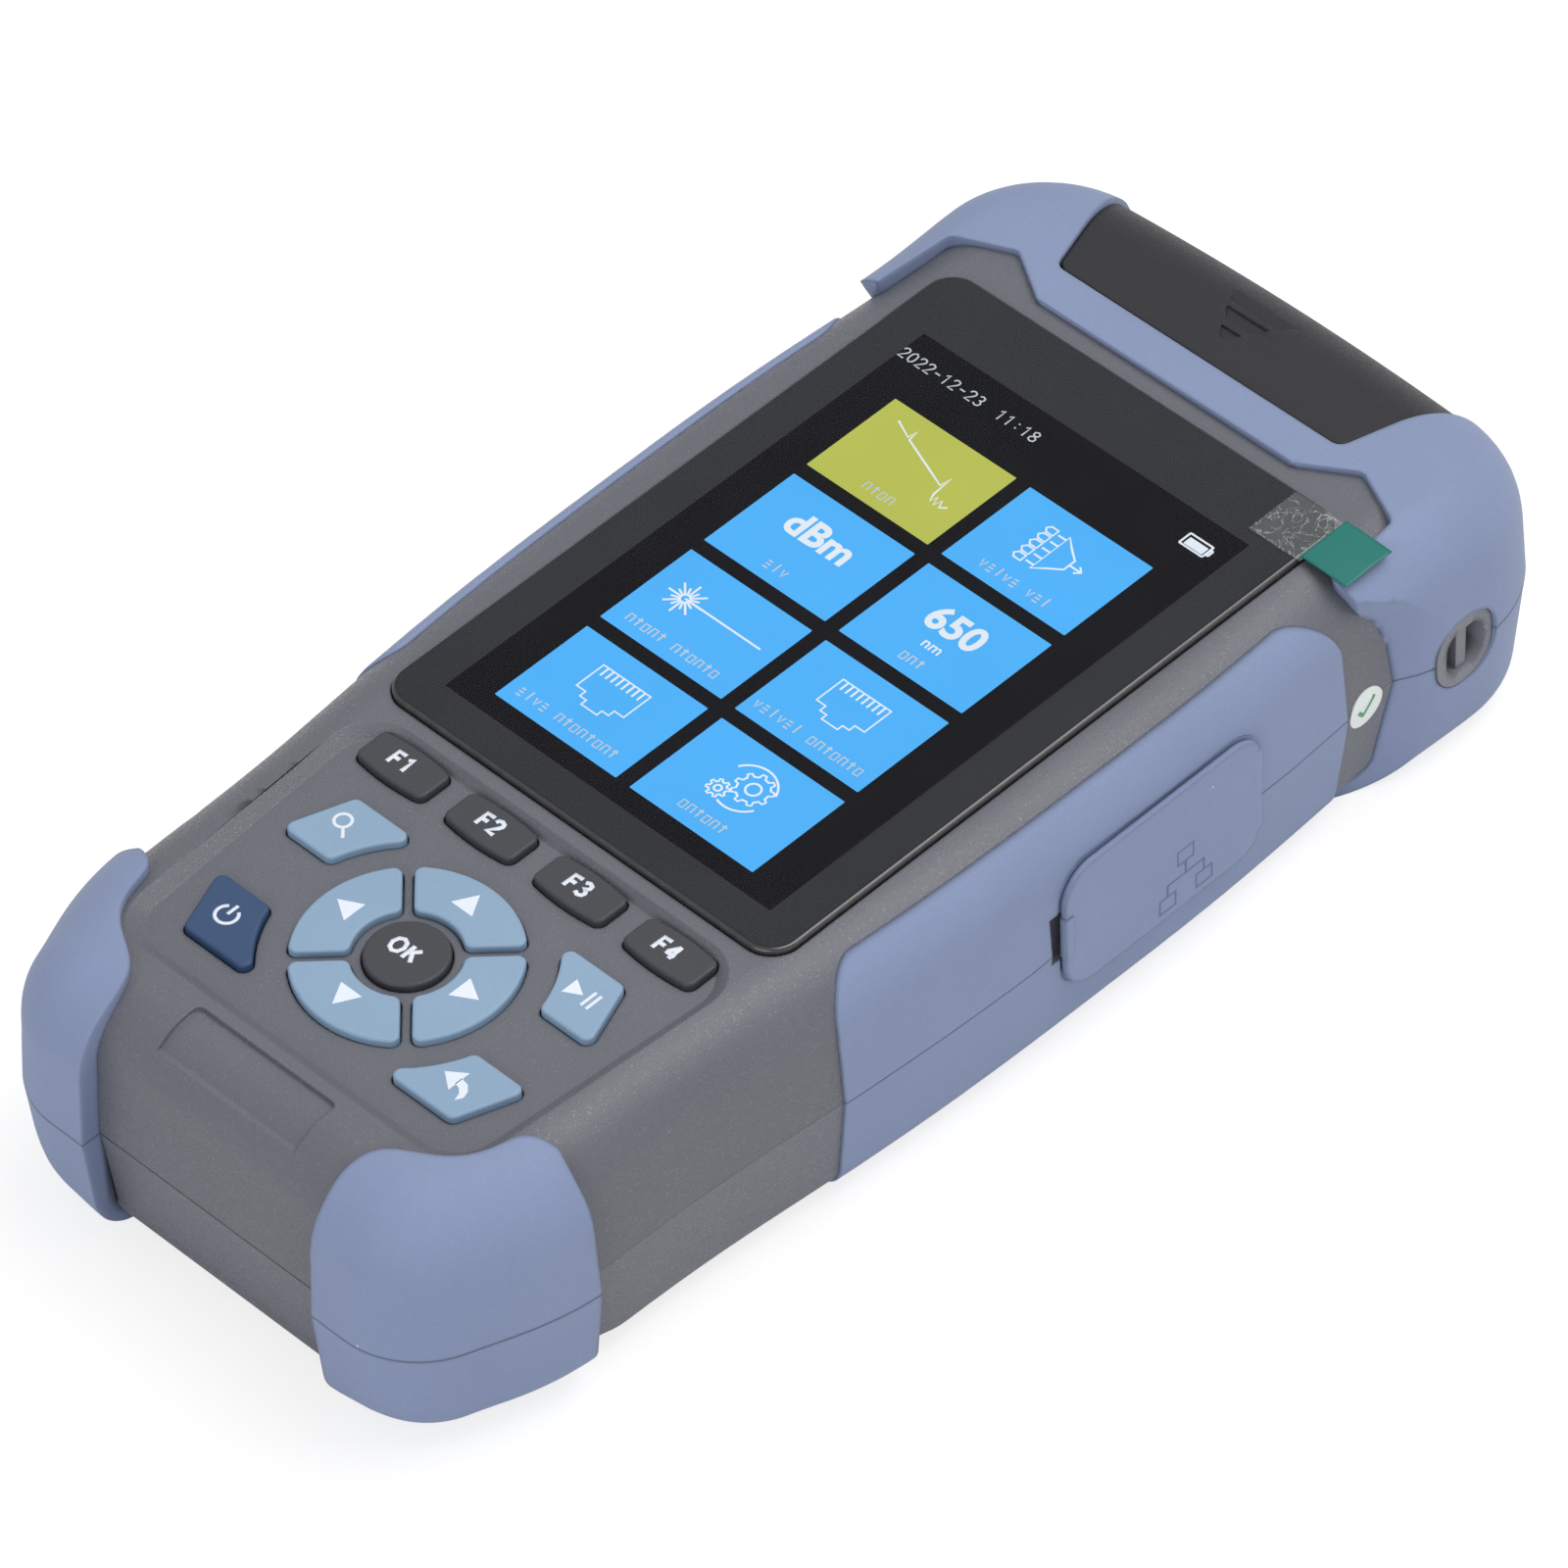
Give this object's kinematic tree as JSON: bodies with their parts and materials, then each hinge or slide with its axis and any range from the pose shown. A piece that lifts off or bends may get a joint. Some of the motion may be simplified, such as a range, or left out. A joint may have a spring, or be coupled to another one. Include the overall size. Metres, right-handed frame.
{
  "type": "optical time domain reflectometer",
  "caption": "Handheld optical fibre tester lying on its back, with a colour screen, sprung keys, a flip cover over its optical ports and soft flaps over its side sockets.",
  "frame": {"origin": "middle of the back, in the plane that the unit rests on", "axes": "+Z out of the screen, +Y towards the end with the optical ports, +X towards the side with the network port"},
  "size_m": [0.0826, 0.1754, 0.0354],
  "materials": {
    "casing_plastic": "fine textured grey",
    "soft_overmould": "smooth matt blue-grey",
    "power_key_plastic": "dark blue",
    "dark_key_plastic": "dark grey",
    "light_key_plastic": "light blue",
    "dark_plastic": "fine textured charcoal",
    "eye_plastic": "grey",
    "lens_glass": "clear window with a dark border",
    "clear_film": "clear film",
    "green_tab": "green",
    "display": "colour screen",
    "black_plastic": "black",
    "circuit_board": "green solder mask",
    "plated_steel": "plated",
    "port_metal": "turned",
    "screw_steel": "dark steel",
    "white_paper": "white paper"
  },
  "bodies": {
    "housing": {"front_shell": "casing_plastic", "rear_shell": "casing_plastic", "bumper_left_upper": "soft_overmould", "grip_left_upper": "soft_overmould", "bumper_left_lower": "soft_overmould", "grip_left_lower": "soft_overmould", "bumper_right_upper": "soft_overmould", "grip_right_upper": "soft_overmould", "bumper_right_lower": "soft_overmould", "grip_right_lower": "soft_overmould", "end_guard_upper": "soft_overmould", "end_guard_lower": "soft_overmould", "screen_lens": "lens_glass", "lens_gasket": "black_plastic", "display_module": "display", "screen_film": "clear_film", "film_pull_tab": "green_tab", "dome_sheet": "black_plastic", "main_board": "circuit_board", "board_screws": "screw_steel", "buzzer": "black_plastic", "io_board": "circuit_board", "io_board_screws": "screw_steel", "network_jack": "plated_steel", "charge_socket": "black_plastic", "data_socket": "plated_steel", "battery_pack": "black_plastic", "optical_module": "plated_steel", "port_tray": "dark_plastic", "power_meter_port": "port_metal", "test_port": "port_metal", "fault_locator_port": "port_metal", "port_cover_pin": "screw_steel", "lanyard_eye_right": "eye_plastic", "lanyard_eye_left": "eye_plastic", "case_screws": "screw_steel", "inspection_sticker": "white_paper"},
    "key_f1_body": {"key_f1": "dark_key_plastic"},
    "key_f2_body": {"key_f2": "dark_key_plastic"},
    "key_f3_body": {"key_f3": "dark_key_plastic"},
    "key_f4_body": {"key_f4": "dark_key_plastic"},
    "key_zoom_body": {"key_zoom": "light_key_plastic"},
    "key_run_body": {"key_run": "light_key_plastic"},
    "key_power_body": {"key_power": "power_key_plastic"},
    "key_back_body": {"key_back": "light_key_plastic"},
    "key_up_body": {"key_up": "light_key_plastic"},
    "key_right_body": {"key_right": "light_key_plastic"},
    "key_down_body": {"key_down": "light_key_plastic"},
    "key_left_body": {"key_left": "light_key_plastic"},
    "key_ok_body": {"key_ok": "dark_key_plastic"},
    "cover_body": {"port_cover": "dark_plastic"},
    "network_flap_body": {"network_port_flap": "soft_overmould"},
    "charge_flap_body": {"charge_port_flap": "soft_overmould"}
  },
  "joints": [
    {"name": "key_f1_press", "type": "slide", "parent": "housing", "child": "key_f1_body", "axis": [0, 0, -1], "range_m": [0, 0.0006], "stiffness_N_per_m": 1500},
    {"name": "key_f2_press", "type": "slide", "parent": "housing", "child": "key_f2_body", "axis": [0, 0, -1], "range_m": [0, 0.0006], "stiffness_N_per_m": 1500},
    {"name": "key_f3_press", "type": "slide", "parent": "housing", "child": "key_f3_body", "axis": [0, 0, -1], "range_m": [0, 0.0006], "stiffness_N_per_m": 1500},
    {"name": "key_f4_press", "type": "slide", "parent": "housing", "child": "key_f4_body", "axis": [0, 0, -1], "range_m": [0, 0.0006], "stiffness_N_per_m": 1500},
    {"name": "key_zoom_press", "type": "slide", "parent": "housing", "child": "key_zoom_body", "axis": [0, 0, -1], "range_m": [0, 0.0006], "stiffness_N_per_m": 1500},
    {"name": "key_run_press", "type": "slide", "parent": "housing", "child": "key_run_body", "axis": [0, 0, -1], "range_m": [0, 0.0006], "stiffness_N_per_m": 1500},
    {"name": "key_power_press", "type": "slide", "parent": "housing", "child": "key_power_body", "axis": [0, 0, -1], "range_m": [0, 0.0006], "stiffness_N_per_m": 1500},
    {"name": "key_back_press", "type": "slide", "parent": "housing", "child": "key_back_body", "axis": [0, 0, -1], "range_m": [0, 0.0006], "stiffness_N_per_m": 1500},
    {"name": "key_up_press", "type": "slide", "parent": "housing", "child": "key_up_body", "axis": [0, 0, -1], "range_m": [0, 0.0006], "stiffness_N_per_m": 1500},
    {"name": "key_right_press", "type": "slide", "parent": "housing", "child": "key_right_body", "axis": [0, 0, -1], "range_m": [0, 0.0006], "stiffness_N_per_m": 1500},
    {"name": "key_down_press", "type": "slide", "parent": "housing", "child": "key_down_body", "axis": [0, 0, -1], "range_m": [0, 0.0006], "stiffness_N_per_m": 1500},
    {"name": "key_left_press", "type": "slide", "parent": "housing", "child": "key_left_body", "axis": [0, 0, -1], "range_m": [0, 0.0006], "stiffness_N_per_m": 1500},
    {"name": "key_ok_press", "type": "slide", "parent": "housing", "child": "key_ok_body", "axis": [0, 0, -1], "range_m": [0, 0.0006], "stiffness_N_per_m": 1500},
    {"name": "port_cover_hinge", "type": "hinge", "parent": "housing", "child": "cover_body", "pos_m": [0, 0.08472, 0.0095], "axis": [-1, 0, 0], "range_deg": [0, 120]},
    {"name": "network_flap_hinge", "type": "hinge", "parent": "housing", "child": "network_flap_body", "pos_m": [0.03995, 0.03455, 0.0183], "axis": [0, 0, 1], "range_deg": [0, 110]},
    {"name": "charge_flap_hinge", "type": "hinge", "parent": "housing", "child": "charge_flap_body", "pos_m": [-0.03995, 0.03455, 0.0183], "axis": [0, 0, -1], "range_deg": [0, 110]}
  ]
}
